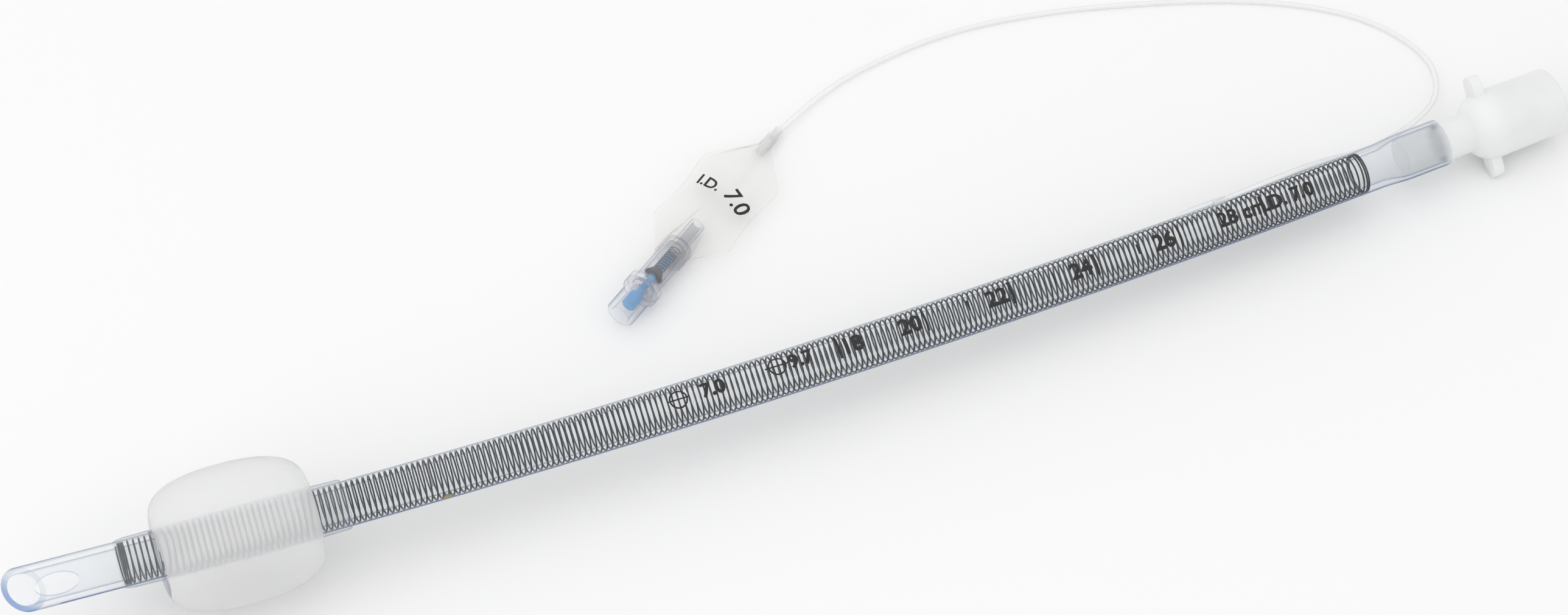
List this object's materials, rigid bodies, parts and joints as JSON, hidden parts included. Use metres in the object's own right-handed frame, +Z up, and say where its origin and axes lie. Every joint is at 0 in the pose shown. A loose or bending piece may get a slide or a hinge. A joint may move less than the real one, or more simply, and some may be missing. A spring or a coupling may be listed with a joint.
{
  "type": "wire-reinforced cuffed endotracheal tube",
  "caption": "Clear wire-reinforced breathing tube with a bevelled tip, an inflated cuff, a 15 mm connector, and an inflation line with pilot balloon and spring valve.",
  "frame": {"origin": "on the table, below the middle of the box round the tube with its cuff and connector", "axes": "+X along the tube towards the connector, +Y towards the side that the pilot balloon lies on, +Z up"},
  "size_m": [0.3564, 0.0918, 0.0304],
  "materials": {
    "clear_pvc": "gloss",
    "steel_wire": "drawn, bright",
    "blue_pvc": "gloss",
    "frosted_film": "frosted",
    "milky_plastic": "satin",
    "soft_pvc": "gloss",
    "clear_film": "gloss",
    "clear_plastic": "gloss",
    "blue_plastic": "gloss",
    "black_rubber": "matt",
    "spring_steel": "bright"
  },
  "bodies": {
    "tube": {"tube_shaft": "clear_pvc", "reinforcing_wire": "steel_wire", "xray_line": "blue_pvc", "cuff": "frosted_film", "connector_15mm": "milky_plastic", "line_junction": "clear_pvc", "pilot_line": "soft_pvc", "neck_sleeve": "clear_pvc", "pilot_balloon": "clear_film", "valve_socket": "clear_plastic", "valve_body": "clear_plastic", "valve_spring": "spring_steel"},
    "plunger": {"valve_plunger": "blue_plastic", "valve_seal": "black_rubber"}
  },
  "joints": [
    {"name": "valve_plunger_push", "type": "slide", "parent": "tube", "child": "plunger", "axis": [0.8224, 0.5673, -0.0436], "range_m": [0, 0.0014], "stiffness_N_per_m": 400, "springref_m": -0.002, "deforming": ["valve_spring"]}
  ]
}
